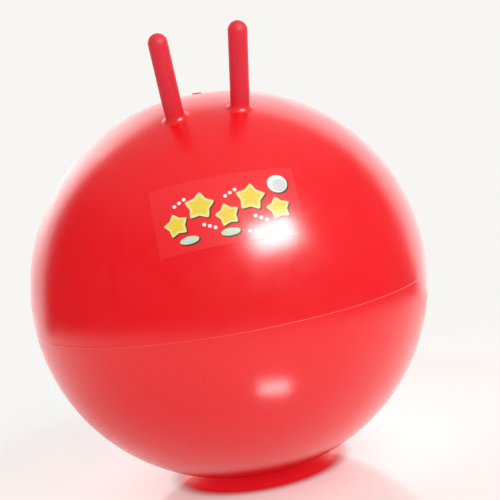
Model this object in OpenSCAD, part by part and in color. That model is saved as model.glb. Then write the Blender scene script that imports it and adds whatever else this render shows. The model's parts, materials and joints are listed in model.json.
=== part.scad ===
/* [Ball] */
// Width of the inflated ball at its middle
ball_d = 500; // [488:1:620]
// Height of the inflated ball, before its own weight flattens it
ball_h = 484; // [420:1:500]
// Thickness of the soft skin
skin_t = 1.4; // [0.8:0.1:3]
// Radius of the patch that the ball's own weight flattens on the floor
rest_r = 38; // [20:1:60]

/* [Seam] */
// How far the parting seam lies below the ball's middle
seam_drop = 16; // [0:1:60]
// Width of the fine bead that the mould leaves along the seam
bead_d = 1.6; // [0.6:0.1:4]

/* [Handles] */
// How far the pair of handles leans forward from the valve's axis
handle_tilt = 24.5; // [16:0.5:30]
// How far each handle's root stands out to its own side
root_side = 8.3; // [6:0.1:12]
// How far each grip leans out to its own side
horn_splay = 4.2; // [0:0.1:12]
// Diameter of a grip
horn_d = 22.5; // [16:0.5:30]
// Straight length of a grip, from its root to the start of its round end
horn_len = 82; // [50:1:140]
// Thickness of a handle's wall
horn_wall = 2.4; // [1.5:0.1:5]
// Height of the root that bends, along its axis from the ball's surface
root_h = 12; // [10:0.5:25]
// Radius of the flare where a root runs into the ball
flare_r = 8; // [3:0.5:9]

/* [Valve] */
// Diameter of the hole that takes the plug
valve_d = 9; // [6:0.1:11]
// Diameter of the bush that lines the hole
seat_d = 18; // [15:0.5:24]
// Length of the bush, from the ball's top inwards
seat_len = 14; // [13:0.5:25]
// Diameter of the bush's flange inside the skin
flange_d = 28; // [22:0.5:40]
// Thickness of that flange
flange_t = 2; // [1:0.1:4]
// Height of the raised land that the plug's head sits on
land_h = 0.4; // [0.2:0.1:1]
// Diameter of that land
land_d = 13; // [12:0.5:14]

/* [Plug] */
// Diameter of the plug's head
head_d = 12; // [11.5:0.5:16]
// Height of the head above its land
head_h = 2.6; // [2:0.1:4]
// How much of that height is the head's dome
dome_h = 1.2; // [0.4:0.1:1.2]
// Height of the undercut that lets a fingernail lift the head
undercut_h = 0.7; // [0.3:0.1:0.8]
// Diameter of the head's foot on the land
foot_d = 10.4; // [9.6:0.1:11]
// Length of the plug's stem below the land
stem_len = 12; // [11:0.5:13]
// Diameter of the stem between its sealing ribs
core_d = 7.2; // [5:0.1:8]
// Number of sealing ribs on the stem
rib_count = 3; // [1:1:3]
// Distance from one rib to the next
rib_step = 3; // [2.6:0.1:3.3]
// Height of a rib
rib_h = 1.8; // [1:0.1:2.4]
// Length of the stem's tapered tip
tip_h = 2.4; // [1:0.1:3]
// Running clearance between the plug's ribs and the hole
valve_gap = 0.05; // [0.02:0.01:0.1]

/* [Label] */
// Width of the film label
label_w = 160; // [80:1:220]
// Height of the film label
label_h = 81; // [40:1:110]
// Radius of the label's corners
label_corner_r = 1.5; // [1:0.5:12]
// Thickness of the film
film_t = 0.25; // [0.1:0.05:0.5]
// Thickness of the adhesive under the film
glue_t = 0.15; // [0.1:0.05:0.3]
// Angle from the valve's axis down to the label's middle
label_tilt = 62.3; // [56:0.1:70]
// How far the label is turned round the ball from the handles' mirror plane
label_turn = -2; // [-10:0.5:10]

/* [Hidden] */
$fn = 128;

// How far a cut runs past what it cuts
overrun = 1;
// Share of the flare's radius that is kept, so that its foot ends in a thin lip and not in a knife edge
flare_share = 0.86;
// Share of the core's diameter that is left at the point of the plug's tip
tip_share = 0.6;

// Facets of the ball where a root is cut to it
fine_fn = 360;

// Outline of the ball: one arc, turned about an axis a little off its centre, so it is wider than high
belly_r = ball_h / 2;
belly_off = ball_d / 2 - belly_r;
reach = ball_d + ball_h;

// Height of the ball's middle above the floor under the flattened patch
centre_z = sqrt(pow(belly_r, 2) - pow(rest_r - belly_off, 2));

// Where the roots' axes, square to the ball, meet its upright axis, and the way from there to the surface
root_polar = acos(cos(handle_tilt) * cos(root_side));
crown_z = centre_z - belly_off / tan(root_polar);
crown_r = belly_r + belly_off / sin(root_polar);

// Seam, handles, valve and plug
seam_r = belly_off + sqrt(pow(belly_r, 2) - pow(seam_drop, 2));
horn_r = horn_d / 2;
bore_r = horn_r - horn_wall;
flare_x = horn_r + flare_r;
flare_y = sqrt(pow(crown_r + flare_r, 2) - pow(flare_x, 2));
elbow_r = crown_r + root_h;
mitre = (root_side + horn_splay) / 2;
horn_span = 2 * (horn_len + horn_d);
valve_r = valve_d / 2;
seat_r = seat_d / 2;
flange_r = flange_d / 2;
head_r = head_d / 2;
dome_r = (pow(head_r, 2) + pow(dome_h, 2)) / (2 * dome_h);
core_r = core_d / 2;
rib_r = valve_r - valve_gap;

// Heights round the valve, above the ball's middle: the skin at the bush's rim, the land and the flange
rim_y = sqrt(pow(belly_r, 2) - pow(seat_r - belly_off, 2));
land_y = rim_y + land_h;
flange_y = rim_y - skin_t - flange_t;

skin_red = "#E4222E";
film_red = "#F0525A";
plug_white = "#F4F2EC";

// Everything to the right of an upright line and above a level line
module upper_right(x, y) {
    translate([x, y])
        square([reach, reach]);
}

// Right half of the ball's outline above a level line, grown outwards or, below zero, shrunk inwards
module ball_profile(grow, from_y = -reach / 2) {
    intersection() {
        translate([belly_off, 0])
            circle(r = belly_r + grow);
        upper_right(0, from_y);
    }
}

// Section of the soft wall, flat where it rests, with the bead along the seam
module skin_profile() {
    difference() {
        ball_profile(0, -centre_z);
        ball_profile(-skin_t, skin_t - centre_z);
    }
    difference() {
        translate([seam_r, -seam_drop])
            circle(d = bead_d);
        ball_profile(-skin_t / 2);
    }
}

// Turns a section about the ball's upright axis
module turned() {
    translate([0, 0, centre_z])
        rotate_extrude()
            children();
}

// Frame of the handle pair: origin at the crown's centre, leaning forward
module handle_frame() {
    translate([0, 0, crown_z])
        rotate([handle_tilt, 0, 0])
            children();
}

// Stands its children on a root's axis, square to the ball; side is -1 for the left and 1 for the right
module on_root(side) {
    handle_frame()
        rotate([0, side * root_side, 0])
            children();
}

// Stands its children on the elbow between root and grip, leaning out by an angle
module on_elbow(side, angle) {
    handle_frame()
        translate([side * elbow_r * sin(root_side), 0, elbow_r * cos(root_side)])
            rotate([0, side * angle, 0])
                children();
}

// Half space above the mitre between root and grip, or below it
module past_mitre(side, above) {
    on_elbow(side, mitre)
        translate([-horn_span / 2, -horn_span / 2, above ? 0 : -horn_span])
            cube(horn_span);
}

module upper_shell() {
    color(skin_red)
        difference() {
            turned()
                intersection() {
                    skin_profile();
                    upper_right(seat_r, -seam_drop);
                }
            for (side = [-1, 1])
                on_root(side)
                    translate([0, 0, crown_r - root_h])
                        cylinder(r = bore_r, h = 2 * root_h);
        }
}

module lower_shell() {
    color(skin_red)
        turned()
            difference() {
                skin_profile();
                upper_right(0, -seam_drop);
            }
}

// Section of a flared root: a tube wall, and a fillet that runs out on the ball
module root_profile() {
    translate([bore_r, crown_r - root_h])
        square([horn_wall, 2 * root_h + horn_r]);
    difference() {
        translate([bore_r, crown_r - root_h])
            square([horn_wall + flare_r * flare_share, flare_y - crown_r + root_h]);
        translate([flare_x, flare_y])
            circle(r = flare_r);
    }
}

module horn_root(side) {
    color(skin_red)
        difference() {
            on_root(side)
                rotate_extrude()
                    root_profile();
            turned($fn = fine_fn)
                ball_profile(0);
            past_mitre(side, true);
        }
}

// Section of a hollow grip with a round end
module horn_profile() {
    difference() {
        union() {
            translate([0, -horn_r])
                square([horn_r, horn_len + horn_r]);
            intersection() {
                translate([0, horn_len])
                    circle(r = horn_r);
                upper_right(0, 0);
            }
        }
        translate([0, -horn_r - overrun])
            square([bore_r, horn_len + horn_r + overrun]);
        translate([0, horn_len])
            circle(r = bore_r);
    }
}

module horn(side) {
    color(skin_red)
        difference() {
            on_elbow(side, horn_splay)
                rotate_extrude()
                    horn_profile();
            past_mitre(side, false);
        }
}

module left_horn_root() {
    horn_root(-1);
}

module right_horn_root() {
    horn_root(1);
}

module left_horn() {
    horn(-1);
}

module right_horn() {
    horn(1);
}

// Section of the bush that lines the hole, flush with the skin at its rim and raised to the plug's land
module bush_profile() {
    polygon([[valve_r, rim_y - seat_len],
             [seat_r, rim_y - seat_len],
             [seat_r, rim_y],
             [land_d / 2, land_y],
             [valve_r, land_y]]);
}

// Section of the bush's flange, from the middle of its wall outwards, against the inside of the skin
module flange_profile() {
    wall_x = (valve_r + seat_r) / 2;
    intersection() {
        ball_profile(-skin_t, flange_y);
        translate([wall_x, flange_y])
            square([flange_r - wall_x, reach]);
    }
}

module valve_seat() {
    color(skin_red)
        turned() {
            bush_profile();
            flange_profile();
        }
}

// Section of the stem: ribs that are square above and tapered below, then a tapered tip
module stem_profile() {
    top_y = land_y + undercut_h;
    tip_y = land_y - stem_len;
    rib_points = [[rib_r, 0], [rib_r, -rib_h / 2], [core_r, -rib_h], [core_r, -rib_step]];
    polygon(concat(
        [[0, top_y]],
        [for (rib = [0 : rib_count - 1], point = rib_points) point + [0, top_y - rib * rib_step]],
        [[core_r, tip_y + tip_h], [core_r * tip_share, tip_y], [0, tip_y]]));
}

// Section of the head: undercut below and domed above
module head_profile() {
    intersection() {
        polygon([[0, land_y],
                 [foot_d / 2, land_y],
                 [head_r, land_y + undercut_h],
                 [head_r, land_y + head_h],
                 [0, land_y + head_h]]);
        translate([0, land_y + head_h - dome_r])
            circle(r = dome_r);
    }
}

module valve_plug() {
    color(plug_white) {
        turned()
            head_profile();
        turned()
            stem_profile();
    }
}

// Rectangle with round corners
module label_outline() {
    inner_w = label_w - 2 * label_corner_r;
    inner_h = label_h - 2 * label_corner_r;
    square([label_w, inner_h], center = true);
    square([inner_w, label_h], center = true);
    for (x = [-1, 1], y = [-1, 1])
        translate([x * inner_w / 2, y * inner_h / 2])
            circle(r = label_corner_r);
}

module front_label() {
    color(film_red)
        intersection() {
            turned()
                difference() {
                    ball_profile(glue_t + film_t);
                    ball_profile(glue_t);
                }
            translate([0, 0, centre_z])
                rotate([label_tilt, 0, label_turn])
                    linear_extrude(height = ball_d)
                        label_outline();
        }
}

upper_shell();
lower_shell();
left_horn_root();
right_horn_root();
left_horn();
right_horn();
valve_seat();
valve_plug();
front_label();
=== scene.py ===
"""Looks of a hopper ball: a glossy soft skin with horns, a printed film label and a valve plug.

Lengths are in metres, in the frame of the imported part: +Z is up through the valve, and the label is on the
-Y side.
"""

import json
import math

import bpy
from mathutils import Matrix, Vector, noise

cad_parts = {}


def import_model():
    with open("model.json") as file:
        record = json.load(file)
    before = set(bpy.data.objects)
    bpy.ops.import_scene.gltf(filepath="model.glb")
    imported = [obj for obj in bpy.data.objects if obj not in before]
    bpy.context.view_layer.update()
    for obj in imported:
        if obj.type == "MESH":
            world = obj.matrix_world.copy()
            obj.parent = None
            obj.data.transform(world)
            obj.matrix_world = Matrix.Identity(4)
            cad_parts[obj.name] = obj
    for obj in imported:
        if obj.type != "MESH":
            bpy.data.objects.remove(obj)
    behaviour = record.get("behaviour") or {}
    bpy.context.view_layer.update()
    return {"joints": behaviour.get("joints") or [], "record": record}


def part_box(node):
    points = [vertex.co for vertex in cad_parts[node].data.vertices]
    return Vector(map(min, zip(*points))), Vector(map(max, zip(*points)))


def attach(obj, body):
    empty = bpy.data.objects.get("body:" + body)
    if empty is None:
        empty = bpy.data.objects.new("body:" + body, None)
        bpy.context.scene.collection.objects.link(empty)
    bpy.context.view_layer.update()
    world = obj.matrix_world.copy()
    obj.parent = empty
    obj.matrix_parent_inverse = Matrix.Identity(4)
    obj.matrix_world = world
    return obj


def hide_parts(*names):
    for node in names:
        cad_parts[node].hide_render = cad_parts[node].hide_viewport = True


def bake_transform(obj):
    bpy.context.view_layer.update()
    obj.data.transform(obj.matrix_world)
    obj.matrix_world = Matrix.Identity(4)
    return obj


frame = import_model()
mounts = {mount["name"]: mount for mount in frame["record"]["mounts"]}
joints = {joint["name"]: joint for joint in frame["joints"]}

MM = 0.001
UP = Vector((0, 0, 1))
SHARP_EDGE = math.radians(40)

# Ball: one arc turned about an axis a little off its centre, flat where it rests
BELLY_R = 242 * MM
BELLY_OFF = 8 * MM
REST_R = 38 * MM
REST_ROUND = 60 * MM
SKIN_T = 1.4 * MM
MIDDLE_Z = math.sqrt(BELLY_R**2 - (REST_R - BELLY_OFF) ** 2)
TURNS = 288
ARC_STEP = math.radians(1.5)

# Seam: a fine ridge round the ball
SEAM_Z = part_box("lower_shell")[1].z
SEAM_POLAR = math.acos((SEAM_Z - MIDDLE_Z) / BELLY_R)
RIDGE_H = 0.22 * MM
RIDGE_W = 0.9 * MM
RIDGE_STEPS = 8
RIDGE_REACH = 1.25
RIDGE_WANDER = 0.35
RIDGE_WAVES = 9.0

# Horns: a flared root that runs into the ball, and a straight grip with a round end
FLARE_R = 6.5 * MM
FLARE_STEPS = 10
FLARE_TOP = 1.05 * FLARE_R
DROP_ROUNDS = 6
FOOT_W = 0.05 * MM
FOOT_DEPTH = 0.3 * MM
HORN_WALL = 2.4 * MM
HORN_SIDES = 72
BEND_STEPS = 12
BEND_REACH = 9 * MM
GRIP_STEPS = 24
TIP_STEPS = 14

# Valve: a bush in the skin and the plug that closes it
HOLE_R = 4.5 * MM
SEAT_R = 9 * MM
SEAT_LEN = 14 * MM
LAND_R = 6.5 * MM
LAND_H = 0.4 * MM
RIM_Z = MIDDLE_Z + math.sqrt(BELLY_R**2 - (SEAT_R - BELLY_OFF) ** 2)
LAND_Z = RIM_Z + LAND_H
HEAD_R = 6 * MM
HEAD_H = 2.6 * MM
DOME_H = 1.2 * MM
DOME_STEPS = 10
FOOT_R = 5.2 * MM
UNDERCUT_H = 0.7 * MM
STEM_LEN = 12 * MM
CORE_R = 3.6 * MM
RIB_R = 4.45 * MM
RIB_STEP = 3 * MM
RIB_H = 1.8 * MM
RIB_COUNT = 3
TIP_H = 2.4 * MM
TIP_R = 2.2 * MM
SMALL_ROUND = 0.25 * MM

# Label: a clear film over a thin adhesive, with inks on it
LABEL_W = 160 * MM
LABEL_H = 81 * MM
LABEL_CORNER_R = 1.5 * MM
LABEL_TILT = math.radians(62.3)
LABEL_TURN = math.radians(-2)
GLUE_T = 0.15 * MM
FILM_T = 0.25 * MM
SHADOW_T = 0.04 * MM
INK_T = 0.06 * MM
LABEL_CELL = 2.5 * MM
CORNER_CELLS = 4
LABEL_ROUNDS = 8

# Camera, fitted to the photograph in its own pixels
PHOTO_PX = 500
FOCAL_PX = 1177.0
BALL_PX = (229.6, 282.9)
CAMERA_FAR = 1.5
CAMERA_RISE = math.radians(8.94)
CAMERA_YAW = math.radians(-4.68)
CAMERA_ROLL = math.radians(9.83)
SENSOR_MM = 36.0


# Shapes

def spaced(start, end, steps):
    """Numbers from start to end in even steps, both ends included."""
    return [start + (end - start) * i / steps for i in range(steps + 1)]


def smooth(x):
    """A step from 0 to 1 with soft ends."""
    x = min(1.0, max(0.0, x))
    return x * x * (3 - 2 * x)


def add_object(name, data):
    made = bpy.data.objects.new(name, data)
    bpy.context.scene.collection.objects.link(made)
    return made


def make_mesh(name, points, faces, material, body, replaced=()):
    """A smooth mesh piece with sharp edges kept, on a body, in place of CAD nodes."""
    mesh = bpy.data.meshes.new(name)
    mesh.from_pydata([tuple(p) for p in points], [], faces)
    mesh.validate()
    mesh.polygons.foreach_set("use_smooth", [True] * len(mesh.polygons))
    mesh.set_sharp_from_angle(angle=SHARP_EDGE)
    mesh.materials.append(material)
    piece = add_object(name, mesh)
    if body:
        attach(piece, body)
    if replaced:
        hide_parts(*replaced)
    return piece


def ring_faces(rings):
    """Quads between neighbouring rings of point numbers; a ring of one point makes triangles."""
    faces = []
    for a, b in zip(rings, rings[1:]):
        count = max(len(a), len(b))
        for i in range(count):
            j = (i + 1) % count
            corners = [a[i % len(a)], a[j % len(a)], b[j % len(b)], b[i % len(b)]]
            face = [c for k, c in enumerate(corners) if c not in corners[:k]]
            if len(face) > 2:
                faces.append(face)
    return faces


def lathe(section):
    """Points and faces of a closed section of (radius, height) pairs turned about the upright axis."""
    points, rings = [], []
    for radius, height in section:
        sides = TURNS if radius > 0 else 1
        first = len(points)
        for i in range(sides):
            a = 2 * math.pi * i / sides
            points.append((radius * math.cos(a), radius * math.sin(a), height))
        rings.append(list(range(first, first + sides)))
    return points, ring_faces(rings + rings[:1])


CUT_LIMIT = 2.2
ROUND_STEPS = 4


def rounded(corners, radius):
    """A polyline with each inner corner rounded; a cut is at most a side over CUT_LIMIT long."""
    made = [corners[0]]
    for a, b, c in zip(corners, corners[1:], corners[2:]):
        before, here, after = Vector(a), Vector(b), Vector(c)
        to_a, to_c = before - here, after - here
        half = to_a.angle(to_c) / 2
        cut = min(radius / math.tan(half), to_a.length / CUT_LIMIT, to_c.length / CUT_LIMIT)
        start, end = here + to_a.normalized() * cut, here + to_c.normalized() * cut
        for s in spaced(0, 1, ROUND_STEPS):
            made.append(tuple(start.lerp(here, s).lerp(here.lerp(end, s), s)))
    return made + [corners[-1]]


# Ball

def outline(polar, grow=0.0):
    """(radius, height) of the ball where its outward normal has that angle from the upright."""
    radius = BELLY_R + grow
    return BELLY_OFF + radius * math.sin(polar), MIDDLE_Z + radius * math.cos(polar)


def ridge(polar):
    """Height of the seam's ridge at a place on the outline."""
    away = abs(polar - SEAM_POLAR) * BELLY_R / RIDGE_W
    return RIDGE_H * math.cos(math.pi / 2 * min(1.0, away)) ** 2


def skin_angles(end):
    """Angles from the seam to an end of a shell, close together on the ridge."""
    side = 1 if end > SEAM_POLAR else -1
    shares = spaced(0, RIDGE_REACH, RIDGE_STEPS)
    on_ridge = [SEAM_POLAR + side * RIDGE_W / BELLY_R * s for s in shares]
    steps = math.ceil(abs(end - on_ridge[-1]) / ARC_STEP)
    return on_ridge + spaced(on_ridge[-1], end, steps)[1:]


def skin_sides(end):
    """The outer side from the seam to an end of a shell, and the inner side back again."""
    angles = skin_angles(end)
    return [outline(a, ridge(a)) for a in angles], [outline(a, -SKIN_T) for a in reversed(angles)]


def wander_seam(points):
    """Lets the ridge's height vary along the seam, as a mould's parting line does."""
    moved = []
    for x, y, z in points:
        across = math.hypot(x, y)
        polar = math.atan2(across - BELLY_OFF, z - MIDDLE_Z)
        along = Vector((x, y, 0)).normalized() * RIDGE_WAVES
        if math.hypot(across - BELLY_OFF, z - MIDDLE_Z) > BELLY_R - SKIN_T / 2:
            lower = -ridge(polar) * RIDGE_WANDER * (0.5 + noise.noise(along))
            x += x / across * lower
            y += y / across * lower
        moved.append((x, y, z))
    return moved


def upper_skin(material):
    """The skin from the seam up to the bush."""
    outer, inner = skin_sides(math.asin((SEAT_R - BELLY_OFF) / BELLY_R))
    points, faces = lathe(outer + inner)
    points = wander_seam(points)
    return make_mesh("ball_upper_skin", points, faces, material, "ball", ["upper_shell"])


def lower_skin(material):
    """The skin from the seam down to the flat patch that the ball rests on."""
    outer, inner = skin_sides(math.pi - math.acos(MIDDLE_Z / BELLY_R))
    bottom = rounded([outer[-2], (REST_R, 0), (REST_R / 2, 0)], REST_ROUND)
    inside = rounded([(REST_R / 2, SKIN_T), (inner[0][0], SKIN_T), inner[1]], REST_ROUND)
    section = outer[:-1] + bottom[1:] + [(0, 0), (0, SKIN_T)] + inside[:-1] + inner[1:]
    points, faces = lathe(section)
    points = wander_seam(points)
    return make_mesh("ball_lower_skin", points, faces, material, "ball", ["lower_shell"])


# Horns

def surface_drop(normal, point):
    """How far the ball's skin lies below a point, measured against a normal."""
    drop = 0.0
    for _ in range(DROP_ROUNDS):
        p = point - normal * drop
        across = math.hypot(p.x, p.y)
        drop += math.hypot(across - BELLY_OFF, p.z - MIDDLE_Z) - BELLY_R
    return drop


def horn_skin(side, material):
    """A horn with its root in one skin, from the flare on the ball to the round end and back inside."""
    grip = mounts[side + "_grip"]
    joint = joints[side + "_handle_flex"]
    axis = Vector(grip["axis"]).normalized()
    grip_r = grip["dims"]["r_mm"] * MM
    half_len = grip["dims"]["length_mm"] * MM / 2
    base = Vector(joint["pos_m"])
    elbow = Vector(grip["pos_m"]) - axis * half_len
    tip = Vector(grip["pos_m"]) + axis * half_len
    root_axis = (elbow - base).normalized()
    bore_r = grip_r - HORN_WALL
    angles = [2 * math.pi * i / HORN_SIDES for i in range(HORN_SIDES)]
    rings = []

    def across(direction, angle):
        e1 = (Vector((1, 0, 0)) - direction * direction.x).normalized()
        e2 = direction.cross(e1)
        return e1 * math.cos(angle) + e2 * math.sin(angle)

    def ring(centre, direction, radius):
        rings.append([centre + across(direction, a) * radius for a in angles])

    def skin_ring(radius, height, follow=1.0):
        """A ring that follows the ball's skin, at a height above it."""
        made = []
        for a in angles:
            flat = base + across(root_axis, a) * radius
            made.append(flat + root_axis * (height - follow * surface_drop(root_axis, flat)))
        rings.append(made)

    # From under the skin up the flare
    skin_ring(bore_r, -SKIN_T / 2)
    skin_ring(grip_r + FLARE_R + FOOT_W, -FOOT_DEPTH)
    for s in spaced(0, 1, FLARE_STEPS):
        turn = math.pi / 2 * s
        height = FLARE_R * (1 - math.cos(turn))
        skin_ring(grip_r + FLARE_R * (1 - math.sin(turn)), height, 1 - smooth(s))
    # Round the elbow
    bend_from = base + root_axis * FLARE_TOP
    bend_to = elbow + axis * BEND_REACH
    bend = []
    for s in spaced(0, 1, BEND_STEPS):
        centre = bend_from.lerp(elbow, s).lerp(elbow.lerp(bend_to, s), s)
        bend.append((centre, root_axis.lerp(axis, s).normalized()))
    for centre, direction in bend:
        ring(centre, direction, grip_r)
    # Up the grip and over its round end
    for s in spaced(0, 1, GRIP_STEPS)[1:]:
        ring(bend_to.lerp(tip, s), axis, grip_r)
    for turn in spaced(0, math.pi / 2, TIP_STEPS)[1:-1]:
        ring(tip + axis * grip_r * math.sin(turn), axis, grip_r * math.cos(turn))
    rings.append([tip + axis * grip_r])
    # Down inside
    rings.append([tip + axis * bore_r])
    for turn in spaced(math.pi / 2, 0, TIP_STEPS)[1:-1]:
        ring(tip + axis * bore_r * math.sin(turn), axis, bore_r * math.cos(turn))
    for s in spaced(1, 0, GRIP_STEPS):
        ring(bend_to.lerp(tip, s), axis, bore_r)
    for centre, direction in bend[-2::-1]:
        ring(centre, direction, bore_r)

    points = [p for made in rings for p in made]
    numbers, first = [], 0
    for made in rings:
        numbers.append(list(range(first, first + len(made))))
        first += len(made)
    faces = ring_faces(numbers + numbers[:1])
    nodes = [side + "_horn", side + "_horn_root"]
    piece = make_mesh(side + "_horn_skin", points, faces, material, None, nodes)
    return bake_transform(piece)


# Valve

def valve_bush(material):
    """The bush, flush with the skin at its rim and raised to the land under the plug's head."""
    low = RIM_Z - SEAT_LEN
    section = rounded([(HOLE_R, low), (SEAT_R, low), (SEAT_R, RIM_Z), (LAND_R, LAND_Z), (HOLE_R, LAND_Z),
                       (HOLE_R, RIM_Z), (HOLE_R, low)], SMALL_ROUND)[:-1]
    points, faces = lathe(section)
    return make_mesh("valve_bush", points, faces, material, "ball", ["valve_seat"])


def valve_plug(material):
    """The plug: a domed head with a fingernail's undercut, and a stem with sealing ribs."""
    top = LAND_Z + UNDERCUT_H
    low = LAND_Z - STEM_LEN
    ribs = [(RIB_R, 0), (RIB_R, -RIB_H / 2), (CORE_R, -RIB_H), (CORE_R, -RIB_STEP)]
    corners = [(0, low), (TIP_R, low), (CORE_R, low + TIP_H)]
    for i in reversed(range(RIB_COUNT)):
        rib = [(r, top + z - i * RIB_STEP) for r, z in reversed(ribs)]
        corners += rib if i < RIB_COUNT - 1 else rib[1:]
    corners = [c for c in corners if c[1] < LAND_Z] + [(RIB_R, LAND_Z)]
    corners += [(FOOT_R, LAND_Z), (HEAD_R, top), (HEAD_R, LAND_Z + HEAD_H - DOME_H)]
    dome_r = (HEAD_R**2 + DOME_H**2) / (2 * DOME_H)
    reach = math.asin(HEAD_R / dome_r)
    crown = LAND_Z + HEAD_H - dome_r
    turns = spaced(reach, 0, DOME_STEPS)[1:-1]
    dome = [(dome_r * math.sin(a), crown + dome_r * math.cos(a)) for a in turns]
    section = rounded(corners + dome[:1], SMALL_ROUND)[:-1] + dome + [(0, LAND_Z + HEAD_H)]
    points, faces = lathe(section)
    return make_mesh("plug", points, faces, material, "plug", ["valve_plug"])


# Label

def on_label(x, y, lift):
    """The point over a place on the flat label, set square to it on the ball, lifted off the skin."""
    turn = Matrix.Rotation(LABEL_TURN, 3, "Z") @ Matrix.Rotation(LABEL_TILT, 3, "X")
    p = Vector((0, 0, MIDDLE_Z)) + turn @ Vector((x, y, BELLY_R))
    for _ in range(LABEL_ROUNDS):
        away = math.hypot(math.hypot(p.x, p.y) - BELLY_OFF, p.z - MIDDLE_Z)
        p -= turn @ UP * (away - BELLY_R - lift)
    return p


def label_film(material):
    """A closed sheet with round corners, laid over the skin."""
    inner_w, inner_h = LABEL_W / 2 - LABEL_CORNER_R, LABEL_H / 2 - LABEL_CORNER_R

    def lines(inner):
        corner = spaced(0, LABEL_CORNER_R, CORNER_CELLS)[1:]
        middle = spaced(-inner, inner, math.ceil(2 * inner / LABEL_CELL))
        return [-inner - c for c in reversed(corner)] + middle + [inner + c for c in corner]

    def place(x, y):
        over_x, over_y = max(0.0, abs(x) - inner_w), max(0.0, abs(y) - inner_h)
        if over_x and over_y:
            shrink = max(over_x, over_y) / math.hypot(over_x, over_y)
            x = math.copysign(inner_w + over_x * shrink, x)
            y = math.copysign(inner_h + over_y * shrink, y)
        return x, y

    columns, rows = lines(inner_w), lines(inner_h)
    grid = [place(x, y) for y in rows for x in columns]
    points = [on_label(x, y, GLUE_T + FILM_T) for x, y in grid]
    points += [on_label(x, y, GLUE_T) for x, y in grid]
    wide, below = len(columns), len(grid)
    faces = []
    for j in range(len(rows) - 1):
        for i in range(wide - 1):
            a = j * wide + i
            quad = [a, a + 1, a + wide + 1, a + wide]
            faces += [quad, [below + n for n in reversed(quad)]]
    last = (len(rows) - 1) * wide
    rim = list(range(wide)) + [j * wide + wide - 1 for j in range(1, len(rows))]
    rim += [last + i for i in reversed(range(wide - 1))]
    rim += [j * wide for j in reversed(range(1, len(rows) - 1))]
    faces += [[b, a, below + a, below + b] for a, b in zip(rim, rim[1:] + rim[:1])]
    return make_mesh("label_film", points, faces, material, "ball", ["front_label"])


STAR_POINTS = 5
STAR_SHARPNESS = 0.95
PRINT_SIDES = 100
PRINT_RINGS = 5


def star(angle):
    """Radius of a star with soft points, 1 at its points."""
    def half(x):
        return math.cos((2 * math.asin(STAR_SHARPNESS * x) + 2 * math.pi) / (2 * STAR_POINTS))
    return half(1) / half(math.cos(STAR_POINTS * angle))


def disc(angle):
    """Radius of a disc, the same at every angle."""
    return 1.0


def inked(name, marks, low, high, material):
    """One ink's marks as thin closed patches, each given on the flat label.

    A mark is (outline, x, y, width, height, turn).
    """
    points, faces = [], []
    for shape, x, y, width, height, turn in marks:
        rings = []
        shares = spaced(0, 1, PRINT_RINGS)
        for lift, order in ((high, shares), (low, shares[::-1])):
            for share in order:
                sides = PRINT_SIDES if share else 1
                first = len(points)
                for i in range(sides):
                    a = 2 * math.pi * i / sides
                    r = shape(a) * share
                    px, py = r * math.sin(a) * width / 2, r * math.cos(a) * height / 2
                    c, s = math.cos(turn), math.sin(turn)
                    points.append(on_label(x + px * c + py * s, y + py * c - px * s, lift))
                rings.append(list(range(first, first + sides)))
        faces += [f[::-1] for f in ring_faces(rings)]
    return make_mesh(name, points, faces, material, "ball")


STAR_WAVE = 5
STAR_GAP = 28 * MM
STAR_RISE = 8 * MM
STAR_SIZES = (27 * MM, 33 * MM)
STAR_LEAN = math.radians(9)
CORE_SHARE = 0.74
SHADOW_GROW = 1.2 * MM
SHADOW_SHIFT = (1.0 * MM, -1.2 * MM)
DOT_SIZE = 4.2 * MM
DOT_STEP = 1.35 * DOT_SIZE
DOTS_IN_HOP = 3
HOP_SHIFT = -7 * MM
HOP_RISE = 17 * MM
HOP_SLOPE = 0.5
OVAL_SIZE = (21 * MM, 8.5 * MM)
OVAL_Y = -27.5 * MM
OVAL_X = (-45 * MM, 0.0)
PEARL_SIZE = 6 * MM
MOON = (60 * MM, 21 * MM)
MOON_SIZE = 22 * MM
MOON_SHADE = 15 * MM
MOON_SHADE_SHIFT = 2 * MM
TRAIL_X = (20 * MM, 60 * MM)
TRAIL_Y = -30 * MM
TRAIL_DOTS = 7
TRAIL_SIZE = 3.2 * MM


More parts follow.
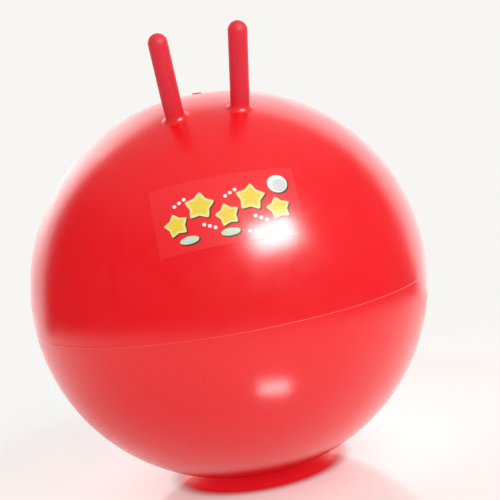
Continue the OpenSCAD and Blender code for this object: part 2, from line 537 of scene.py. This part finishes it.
def label_print(materials):
    """Stars that hop across the label with dots between them, a moon above, ovals and a trail below."""
    stars, dots = [], []
    for i in range(STAR_WAVE):
        x = (i - (STAR_WAVE - 1) / 2) * STAR_GAP
        up = 1 if i % 2 else -1
        size = STAR_SIZES[i % 2]
        stars.append((star, x, STAR_RISE * up, size, size, STAR_LEAN * up))
    for i in range(STAR_WAVE - 1):
        middle = (i - (STAR_WAVE - 2) / 2) * STAR_GAP + HOP_SHIFT
        up = -1 if i % 2 else 1
        for k in range(DOTS_IN_HOP):
            step = (k - (DOTS_IN_HOP - 1) / 2) * DOT_STEP
            rise = up * (HOP_RISE + HOP_SLOPE * step)
            dots.append((disc, middle + step, rise, DOT_SIZE, DOT_SIZE, 0.0))
    trail = spaced(*TRAIL_X, TRAIL_DOTS - 1)
    dots += [(disc, x, TRAIL_Y, TRAIL_SIZE, TRAIL_SIZE, 0.0) for x in trail]
    ovals = [(disc, x, OVAL_Y, *OVAL_SIZE, 0.0) for x in OVAL_X]
    pearls = [(disc, x, OVAL_Y, PEARL_SIZE, PEARL_SIZE, 0.0) for x in OVAL_X]
    moon = (disc, *MOON, MOON_SIZE, MOON_SIZE, 0.0)
    shade_x, shade_y = MOON[0] + MOON_SHADE_SHIFT, MOON[1] - MOON_SHADE_SHIFT
    moon_shade = (disc, shade_x, shade_y, MOON_SHADE, MOON_SHADE, 0.0)
    cores = [(f, x, y, w * CORE_SHARE, h * CORE_SHARE, t) for f, x, y, w, h, t in stars]
    dx, dy = SHADOW_SHIFT
    cast = stars + ovals + [moon]
    shadows = [(f, x + dx, y + dy, w + SHADOW_GROW, h + SHADOW_GROW, t) for f, x, y, w, h, t in cast]
    film_top = GLUE_T + FILM_T
    first = film_top + SHADOW_T
    second = first + INK_T
    inked("label_print_shadow", shadows, film_top, first, materials["shadow"])
    inked("label_print_stars", stars, first, second, materials["straw"])
    inked("label_print_star_cores", cores, second, second + INK_T, materials["yellow"])
    inked("label_print_ovals", ovals, first, second, materials["green"])
    inked("label_print_dots", dots, film_top, film_top + INK_T, materials["white"])
    inked("label_print_pearls", pearls + [moon_shade], second, second + INK_T, materials["grey"])
    inked("label_print_moon", [moon], first, second, materials["white"])


# Materials: noise scales count to the metre, and a dulling pair is roughness from shiny to dull

NOISE_LOW = 0.3
NOISE_HIGH = 0.7
NOISE_DETAIL = 3.0
WAVE_DETAIL = 1.0
GRAIN_DETAIL = 2.0


def shader_of(name, roughness, colour):
    made = bpy.data.materials.new(name)
    made.use_nodes = True
    shader = made.node_tree.nodes["Principled BSDF"]
    shader.inputs["Base Color"].default_value = (*colour, 1)
    shader.inputs["Roughness"].default_value = roughness
    return made, made.node_tree, shader


def place_in(tree, space="Object"):
    """The shaded point, in the part's own space unless another is asked for."""
    return tree.nodes.new("ShaderNodeTexCoord").outputs[space]


def axes_of(tree, vector):
    """The X, Y and Z of a vector."""
    split = tree.nodes.new("ShaderNodeSeparateXYZ")
    tree.links.new(vector, split.inputs["Vector"])
    return split.outputs["X"], split.outputs["Y"], split.outputs["Z"]


def distance_to(tree, point):
    """How far the shaded point lies from a point of the part's own space."""
    away = tree.nodes.new("ShaderNodeVectorMath")
    away.operation = "DISTANCE"
    away.inputs[1].default_value = point
    tree.links.new(place_in(tree), away.inputs[0])
    return away.outputs["Value"]


def noise_of(tree, scale, detail=NOISE_DETAIL):
    """A noise pattern in the part's own space."""
    pattern = tree.nodes.new("ShaderNodeTexNoise")
    pattern.inputs["Scale"].default_value = scale
    pattern.inputs["Detail"].default_value = detail
    tree.links.new(place_in(tree), pattern.inputs["Vector"])
    return pattern.outputs["Fac"]


def map_range(tree, value, from_low, from_high, to_low=0.0, to_high=1.0, kind="SMOOTHSTEP"):
    node = tree.nodes.new("ShaderNodeMapRange")
    node.interpolation_type = kind
    node.inputs["From Min"].default_value = from_low
    node.inputs["From Max"].default_value = from_high
    node.inputs["To Min"].default_value = to_low
    node.inputs["To Max"].default_value = to_high
    tree.links.new(value, node.inputs["Value"])
    return node.outputs["Result"]


def maths(tree, operation, first, *others):
    """Sockets and numbers put together by one operation, from left to right."""
    result = first
    for other in others:
        node = tree.nodes.new("ShaderNodeMath")
        node.operation = operation
        for socket, value in zip(node.inputs, (result, other)):
            if isinstance(value, float):
                socket.default_value = value
            else:
                tree.links.new(value, socket)
        result = node.outputs["Value"]
    return result


def mix_colours(tree, factor, first, second):
    """A colour between two others, each of them a value or a mix itself."""
    mix = tree.nodes.new("ShaderNodeMix")
    mix.data_type = "RGBA"
    for slot, colour in (("A", first), ("B", second)):
        if isinstance(colour, tuple):
            mix.inputs[slot].default_value = (*colour, 1)
        else:
            tree.links.new(colour, mix.inputs[slot])
    tree.links.new(factor, mix.inputs["Factor"])
    return mix.outputs["Result"]


def vary_colour(tree, shader, factor, first, second):
    tree.links.new(mix_colours(tree, factor, first, second), shader.inputs["Base Color"])


def vary_roughness(tree, shader, pattern, low, high):
    roughness = map_range(tree, pattern, NOISE_LOW, NOISE_HIGH, low, high, "LINEAR")
    tree.links.new(roughness, shader.inputs["Roughness"])


def add_bump(tree, shader, layers):
    """Bumps from (pattern, depth) layers, one on the other."""
    normal = None
    for pattern, depth in layers:
        bump = tree.nodes.new("ShaderNodeBump")
        bump.inputs["Distance"].default_value = depth
        tree.links.new(pattern, bump.inputs["Height"])
        if normal:
            tree.links.new(normal, bump.inputs["Normal"])
        normal = bump.outputs["Normal"]
    tree.links.new(normal, shader.inputs["Normal"])


GRAIN = 700
PVC = (0.86, 0.003, 0.009)
PVC_TONES = ((0.83, 0.002, 0.007), (0.89, 0.004, 0.011))
PVC_MOTTLE = 9
PVC_ROUGHNESS = 0.24
PVC_DULLING = (0.21, 0.27)
PVC_SMEARS = 45
PVC_WAVES = 22
PVC_WAVE_H = 0.25 * MM
PVC_GRAIN_H = 0.004 * MM
# A paler red painted along the seam: a painted highlight on its ridge
SEAM_PAINTED_HIGHLIGHT = (0.91, 0.06, 0.07)
SEAM_HIGHLIGHT_W = 0.7 * MM
SEAM_HIGHLIGHT_CORE_W = 0.3 * SEAM_HIGHLIGHT_W


def soft_pvc():
    """Glossy red skin, a little paler along the seam, where a highlight on its ridge is painted."""
    made, tree, shader = shader_of("soft_pvc", PVC_ROUGHNESS, PVC)
    mottle = mix_colours(tree, noise_of(tree, PVC_MOTTLE), *PVC_TONES)
    height = axes_of(tree, place_in(tree))[2]
    off_seam = maths(tree, "ABSOLUTE", maths(tree, "SUBTRACT", height, SEAM_Z), 0.0)
    # Painted highlight: the band along the seam is paler
    vary_colour(tree, shader, map_range(tree, off_seam, SEAM_HIGHLIGHT_CORE_W, SEAM_HIGHLIGHT_W), SEAM_PAINTED_HIGHLIGHT, mottle)
    vary_roughness(tree, shader, noise_of(tree, PVC_SMEARS), *PVC_DULLING)
    waves = (noise_of(tree, PVC_WAVES, WAVE_DETAIL), PVC_WAVE_H)
    grain = (noise_of(tree, GRAIN, GRAIN_DETAIL), PVC_GRAIN_H)
    add_bump(tree, shader, [waves, grain])
    return made


GRIP = (0.75, 0.014, 0.034)
GRIP_SPAN = (0.243, 0.268)
GRIP_ROUGHNESS = 0.55
GRIP_DULLING = (0.28, 0.50)
GRIP_SMEARS = 90
GRIP_WEAR = 0.08
GRIP_SPECULAR = (0.50, 0.35)
GRIP_WAVES = 60
GRIP_WAVE_H = 0.12 * MM
GRIP_GRAIN_H = 0.006 * MM


def horn_pvc():
    """The ball's own skin at the root, rubbed to a softer sheen up the grip."""
    made, tree, shader = shader_of("horn_pvc", GRIP_ROUGHNESS, GRIP)
    height = distance_to(tree, (0, 0, MIDDLE_Z))
    vary_colour(tree, shader, map_range(tree, height, *GRIP_SPAN), PVC, GRIP)
    sheen = map_range(tree, height, *GRIP_SPAN, *GRIP_DULLING)
    worn = map_range(tree, noise_of(tree, GRIP_SMEARS), NOISE_LOW, NOISE_HIGH, 0.0, GRIP_WEAR)
    tree.links.new(maths(tree, "ADD", sheen, worn), shader.inputs["Roughness"])
    shine = map_range(tree, height, *GRIP_SPAN, *GRIP_SPECULAR)
    tree.links.new(shine, shader.inputs["Specular IOR Level"])
    waves = (noise_of(tree, GRIP_WAVES, WAVE_DETAIL), GRIP_WAVE_H)
    grain = (noise_of(tree, GRAIN, GRAIN_DETAIL), GRIP_GRAIN_H)
    add_bump(tree, shader, [waves, grain])
    return made


COATED_ROUGHNESS = 0.42
COATED_SPECULAR = 0.2
COAT_WEIGHT = 0.75
COAT_ROUGHNESS = 0.20
FILM = (0.88, 0.006, 0.013)
FILM_TONES = ((0.87, 0.005, 0.011), (0.89, 0.008, 0.015))
FILM_MOTTLE = 30
FILM_WAVES = 18
FILM_WAVE_H = 0.25 * MM
INK_MOTTLE = 120


def coated(name, colour, mottle, tones):
    """A mottled colour under the film's gloss."""
    made, tree, shader = shader_of(name, COATED_ROUGHNESS, colour)
    vary_colour(tree, shader, noise_of(tree, mottle), *tones)
    shader.inputs["Specular IOR Level"].default_value = COATED_SPECULAR
    shader.inputs["Coat Weight"].default_value = COAT_WEIGHT
    shader.inputs["Coat Roughness"].default_value = COAT_ROUGHNESS
    return made, tree, shader


def clear_film():
    """The film as it looks on the skin, a little wavy."""
    made, tree, shader = coated("clear_film", FILM, FILM_MOTTLE, FILM_TONES)
    add_bump(tree, shader, [(noise_of(tree, FILM_WAVES, WAVE_DETAIL), FILM_WAVE_H)])
    return made


def ink(name, dark, light):
    made, _, _ = coated(name, light, INK_MOTTLE, (dark, light))
    return made


PLUG = (0.82, 0.81, 0.77)
PLUG_TONES = ((0.79, 0.78, 0.73), (0.85, 0.84, 0.81))
PLUG_MOTTLE = 300
PLUG_ROUGHNESS = 0.35
PLUG_DULLING = (0.30, 0.42)
PLUG_SMEARS = 600
PLUG_GRAIN = 900
PLUG_GRAIN_H = 0.02 * MM


def white_plastic():
    made, tree, shader = shader_of("white_plastic", PLUG_ROUGHNESS, PLUG)
    vary_colour(tree, shader, noise_of(tree, PLUG_MOTTLE), *PLUG_TONES)
    vary_roughness(tree, shader, noise_of(tree, PLUG_SMEARS), *PLUG_DULLING)
    add_bump(tree, shader, [(noise_of(tree, PLUG_GRAIN), PLUG_GRAIN_H)])
    return made


# Stage

def stage_mesh(name, points, faces, material):
    mesh = bpy.data.meshes.new(name)
    mesh.from_pydata(points, [], faces)
    mesh.materials.append(material)
    return add_object(name, mesh)


def seen_rays(tree):
    """Whether a ray shows the surface, directly, mirrored or through something; and whether mirrored."""
    path = tree.nodes.new("ShaderNodeLightPath").outputs
    mirrored = path["Is Glossy Ray"]
    seen = maths(tree, "MAXIMUM", path["Is Camera Ray"], mirrored, path["Is Transmission Ray"])
    return seen, mirrored


def mix_shaders(tree, factor, first, second, output):
    mix = tree.nodes.new("ShaderNodeMixShader")
    tree.links.new(factor, mix.inputs["Fac"])
    tree.links.new(first, mix.inputs[1])
    tree.links.new(second, mix.inputs[2])
    tree.links.new(mix.outputs["Shader"], tree.nodes[output].inputs["Surface"])


FLOOR_R = 14.0
FLOOR_SIDES = 96
FLOOR_GAP = 0.1 * MM
FLOOR_ROUGHNESS = 0.10
FLOOR_DULLING = (0.08, 0.13)
FLOOR_SMEARS = 3
PAPER = (0.93, 0.922, 0.892)
FLOOR_PALE = (0.82, 0.813, 0.793)
# Painted red light in the floor's own colour where the ball rests
FLOOR_PAINTED_RED = (0.55, 0.03, 0.04)
GLOSS_SPAN = (0.12, 0.60)
GLOSS_FALL = 4.0
GLOSS_SPECULAR = 0.5
# Painted light close to the ball: red where it rests and pink around it, lifting its shadow
RED_LIGHT = (1.0, 0.008, 0.018)
RED_GLOW = 0.50
RED_FROM = 0.09
RED_TO = 0.12
BOUNCE_LIGHT = (1.0, 0.72, 0.70)
BOUNCE_GLOW = 0.33
GLOW_FROM = 0.10
GLOW_TO = 0.125
BOUNCE_TO = 0.30
NEAR_GLOW = 0.08
FAR_GLOW = 0.15
FAR_SPAN = (0.30, 0.60)
# Painted light seen only in reflections: the floor glows more on the key's side and far out
MIRRORED_GLOW = 0.68
MIRRORED_SLOPE = 0.5
MIRRORED_REACH = 0.4
MIRRORED_FAR = 0.35
FADE_SPAN = (0.28, 0.90)


def floor():
    """A pale floor, polished close to the ball, that runs out into the white of the background.

    Its glow shows only to the camera and in reflections. The red and the pink close to the ball are painted
    light: they stand for light that comes through and off the skin, and lift the ball's shadow there.
    """
    made, tree, shader = shader_of("floor", FLOOR_ROUGHNESS, FLOOR_PALE)
    distance = distance_to(tree, (0, 0, 0))
    x, y, _ = axes_of(tree, place_in(tree))
    seen, mirrored = seen_rays(tree)

    def outwards(start, end, first=0.0, last=1.0):
        return map_range(tree, distance, start, end, first, last)

    # Surface, with a painted red where the ball rests
    off_red = outwards(GLOW_FROM, RED_TO)
    vary_colour(tree, shader, off_red, FLOOR_PAINTED_RED, FLOOR_PALE)
    vary_roughness(tree, shader, noise_of(tree, FLOOR_SMEARS), *FLOOR_DULLING)
    polish = maths(tree, "POWER", outwards(*GLOSS_SPAN, 1.0, 0.0), GLOSS_FALL)
    tree.links.new(maths(tree, "MULTIPLY", polish, GLOSS_SPECULAR), shader.inputs["Specular IOR Level"])
    # Glow close by: painted red and pink light that lifts the ball's shadow on the floor
    bounced = mix_colours(tree, outwards(GLOW_TO, BOUNCE_TO), BOUNCE_LIGHT, PAPER)
    tree.links.new(mix_colours(tree, off_red, RED_LIGHT, bounced), shader.inputs["Emission Color"])
    red = outwards(RED_FROM, RED_TO, RED_GLOW, 0.0)
    near = outwards(GLOW_FROM, GLOW_TO, 0.0, BOUNCE_GLOW)
    near_less = outwards(GLOW_TO, BOUNCE_TO, 0.0, NEAR_GLOW - BOUNCE_GLOW)
    far_more = outwards(*FAR_SPAN, 0.0, FAR_GLOW - NEAR_GLOW)
    # Painted light on the key's side of the floor, seen only in reflections
    lit_side = maths(tree, "SUBTRACT", x, maths(tree, "MULTIPLY", y, MIRRORED_SLOPE))
    lit = map_range(tree, lit_side, -MIRRORED_REACH, MIRRORED_REACH, 0.0, MIRRORED_GLOW)
    lit = maths(tree, "MULTIPLY", lit, mirrored, outwards(GLOW_FROM, GLOW_TO))
    glow = maths(tree, "ADD", red, near, near_less, far_more, lit)
    tree.links.new(maths(tree, "MULTIPLY", glow, seen), shader.inputs["Emission Strength"])
    # White far out
    white = tree.nodes.new("ShaderNodeEmission")
    white.inputs["Color"].default_value = (*PAPER, 1)
    # Painted light: far out the floor is brighter in reflections than to the camera
    strength = maths(tree, "ADD", maths(tree, "MULTIPLY", mirrored, MIRRORED_FAR), 1.0)
    tree.links.new(strength, white.inputs["Strength"])
    fade = maths(tree, "MULTIPLY", outwards(*FADE_SPAN), seen)
    mix_shaders(tree, fade, shader.outputs["BSDF"], white.outputs["Emission"], "Material Output")
    turns = spaced(0, 2 * math.pi, FLOOR_SIDES)[:-1]
    rim = [(FLOOR_R * math.cos(a), FLOOR_R * math.sin(a), -FLOOR_GAP) for a in turns]
    plane = stage_mesh("floor", rim, [list(range(FLOOR_SIDES))], made)
    return plane


ROOM_R = 3.5
ROOM_SIDES = 72
ROOM_STEPS = 18
SKIRT_R = 1.1
SKIRT_MIDDLE = (-0.30, 0.10)
SKIRT_Z = 2 * MM
# Levels of light, and the parts of a unit direction between which they change
LEFT_LEVEL = 0.0
RIGHT_LEVEL = 0.16
WALL_SPAN = (-0.9, 0.5)
TOP_LEVEL = 0.40
TOP_SPAN = (0.52, 0.95)
LEFT_STRIP = 1.5
LEFT_STRIP_IN = (0.0, -0.40)
LEFT_STRIP_OUT = (-0.40, -0.70)
LEFT_STRIP_REST = 0.1
LEFT_STRIP_FOOT = (0.05, 0.30)
BACK_LEVEL = 1.42
RIGHT_STRIP = 0.45
RIGHT_STRIP_SPAN = (0.1, 0.3)
BACK_TURN = 0.12
BACK_SPAN = (0.50, 0.60)
BACK_TILT = 0.1
BACK_TOP = (0.70, 0.84)


def studio_room():
    """What the gloss reflects: dim walls at the sides and front, a paler top and a bright sweep behind."""
    made = bpy.data.materials.new("studio_room")
    made.use_nodes = True
    tree = made.node_tree
    tree.nodes.remove(tree.nodes["Principled BSDF"])
    unit = tree.nodes.new("ShaderNodeVectorMath")
    unit.operation = "NORMALIZE"
    tree.links.new(place_in(tree), unit.inputs[0])
    x, y, z = axes_of(tree, unit.outputs["Vector"])
    walls = map_range(tree, x, *WALL_SPAN, LEFT_LEVEL, RIGHT_LEVEL)
    top = map_range(tree, z, *TOP_SPAN, 0.0, TOP_LEVEL)
    left_in = map_range(tree, x, *LEFT_STRIP_IN, 0.0, LEFT_STRIP)
    left_out = map_range(tree, x, *LEFT_STRIP_OUT, 1.0, LEFT_STRIP_REST)
    left_strip = maths(tree, "MULTIPLY", left_in, left_out, map_range(tree, z, *LEFT_STRIP_FOOT))
    back = map_range(tree, x, *RIGHT_STRIP_SPAN, BACK_LEVEL, BACK_LEVEL + RIGHT_STRIP)
    turned = maths(tree, "ADD", y, maths(tree, "MULTIPLY", x, BACK_TURN))
    behind = map_range(tree, turned, *BACK_SPAN)
    tilted = maths(tree, "SUBTRACT", z, maths(tree, "MULTIPLY", x, BACK_TILT))
    below_top = map_range(tree, tilted, *BACK_TOP, 1.0, 0.0)
    sweep = maths(tree, "MULTIPLY", maths(tree, "ADD", left_strip, back), behind, below_top)
    glow = tree.nodes.new("ShaderNodeEmission")
    glow.inputs["Color"].default_value = (1, 1, 1, 1)
    tree.links.new(maths(tree, "ADD", walls, top, sweep), glow.inputs["Strength"])
    tree.links.new(glow.outputs["Emission"], tree.nodes["Material Output"].inputs["Surface"])
    rings = [(*SKIRT_MIDDLE, SKIRT_R, SKIRT_Z)]
    for a in spaced(0, math.pi / 2, ROOM_STEPS)[:-1]:
        rings.append((0, 0, ROOM_R * math.cos(a), ROOM_R * math.sin(a) + SKIRT_Z))
    turns = spaced(0, 2 * math.pi, ROOM_SIDES)[:-1]
    points = [(cx + r * math.cos(a), cy + r * math.sin(a), h) for cx, cy, r, h in rings for a in turns]
    points.append((0, 0, ROOM_R))
    numbers = [list(range(i * ROOM_SIDES, (i + 1) * ROOM_SIDES)) for i in range(len(rings))]
    room = stage_mesh("studio_room", points, ring_faces(numbers + [[len(points) - 1]]), made)
    room.visible_camera = False
    room.visible_diffuse = False
    room.visible_shadow = False


AMBIENT_LEFT = 0.71
AMBIENT_RIGHT = 1.12
AMBIENT_SPAN = (-1.0, 0.4)


def world():
    """White for what is seen directly or mirrored; for the rest a soft light, dimmer from the left."""
    made = bpy.data.worlds.new("studio")
    bpy.context.scene.world = made
    made.use_nodes = True
    tree = made.node_tree
    white = tree.nodes["Background"]
    white.inputs["Color"].default_value = (*PAPER, 1)
    soft = tree.nodes.new("ShaderNodeBackground")
    soft.inputs["Color"].default_value = (1, 1, 1, 1)
    x, _, _ = axes_of(tree, place_in(tree, "Generated"))
    tree.links.new(map_range(tree, x, *AMBIENT_SPAN, AMBIENT_LEFT, AMBIENT_RIGHT), soft.inputs["Strength"])
    seen, _ = seen_rays(tree)
    mix_shaders(tree, seen, soft.outputs["Background"], white.outputs["Background"], "World Output")


def softbox(name, place, aim, width, height, radiance):
    """A rectangular light turned to what it lights; with its full spread, radiance 1 is white."""
    light = bpy.data.lights.new(name, "AREA")
    light.shape = "RECTANGLE"
    light.size = width
    light.size_y = height
    light.energy = radiance * math.pi * width * height
    lamp = add_object(name, light)
    lamp.location = place
    lamp.rotation_mode = "QUATERNION"
    lamp.rotation_quaternion = (Vector(aim) - Vector(place)).to_track_quat("-Z", "Y")
    lamp.visible_camera = False
    return lamp


KEY_PLACE = (0.98, -1.88, 1.42)
KEY_SIZE = (0.95, 0.55)
KEY_RADIANCE = 6.0
GLINT_PLACE = (0.88, -1.84, 1.39)
GLINT_RADIANCE = 39.0
CARD_PLACE = (0.0322, -0.3117, 0.0406)
CARD_AIM = (0.0095, -0.2343, 0.155)
CARD_SIZE = (0.068, 0.034)
CARD_RADIANCE = 0.88
CARD_SPREAD = math.radians(50)


def lights(ground):
    """A soft key light from the right, its highlight and a low card; the last two leave out the floor."""
    middle = (0, 0, MIDDLE_Z)
    key = softbox("key", KEY_PLACE, middle, *KEY_SIZE, KEY_RADIANCE)
    key.visible_glossy = False
    glint = softbox("key_glint", GLINT_PLACE, middle, *KEY_SIZE, GLINT_RADIANCE)
    card = softbox("low_card", CARD_PLACE, CARD_AIM, *CARD_SIZE, CARD_RADIANCE)
    card.data.spread = CARD_SPREAD
    unlit = bpy.data.collections.new("no_highlights")
    unlit.objects.link(ground)
    unlit.collection_objects[0].light_linking.link_state = "EXCLUDE"
    for highlight in (glint, card):
        highlight.visible_diffuse = False
        highlight.light_linking.receiver_collection = unlit


# Camera

def camera():
    """Stands where the photograph was taken from, leaning as the photographed ball does."""
    centre = Vector((0, 0, MIDDLE_Z))
    turn = Matrix.Rotation(CAMERA_YAW, 3, "Z")
    back = turn @ Vector((0, -math.cos(CAMERA_RISE), math.sin(CAMERA_RISE)))
    ahead = -back
    right = ahead.cross(UP).normalized()
    up = right.cross(ahead)
    c, s = math.cos(CAMERA_ROLL), math.sin(CAMERA_ROLL)
    rows = Matrix((right * c - up * s, right * s + up * c, ahead))
    across = BALL_PX[0] - PHOTO_PX / 2
    below = PHOTO_PX / 2 - BALL_PX[1]
    pan = Matrix.Rotation(math.atan2(across, FOCAL_PX), 3, "Y")
    tilt = Matrix.Rotation(-math.atan2(below, math.hypot(FOCAL_PX, across)), 3, "X")
    rows = pan @ tilt @ rows
    lens = bpy.data.cameras.new("camera")
    lens.sensor_width = SENSOR_MM
    lens.lens = SENSOR_MM * FOCAL_PX / PHOTO_PX
    made = add_object("camera", lens)
    turned = Matrix((rows[0], rows[1], -rows[2])).transposed()
    made.matrix_world = Matrix.Translation(centre + back * CAMERA_FAR) @ turned.to_4x4()
    bpy.context.scene.camera = made


bpy.context.scene.view_settings.view_transform = "Standard"
pvc = soft_pvc()
upper_skin(pvc)
lower_skin(pvc)
horns = horn_pvc()
horn_skin("left", horns)
horn_skin("right", horns)
valve_bush(pvc)
valve_plug(white_plastic())
label_film(clear_film())
label_print({
    "yellow": ink("yellow_ink", (0.80, 0.57, 0.03), (0.86, 0.66, 0.06)),
    "straw": ink("straw_ink", (0.84, 0.70, 0.22), (0.88, 0.76, 0.32)),
    "white": ink("white_ink", (0.78, 0.77, 0.74), (0.86, 0.85, 0.82)),
    "grey": ink("grey_ink", (0.60, 0.61, 0.60), (0.72, 0.73, 0.72)),
    "green": ink("green_ink", (0.50, 0.70, 0.42), (0.60, 0.78, 0.52)),
    "shadow": ink("shadow_ink", (0.045, 0.03, 0.01), (0.07, 0.05, 0.02)),
})
ground = floor()
studio_room()
world()
lights(ground)
camera()
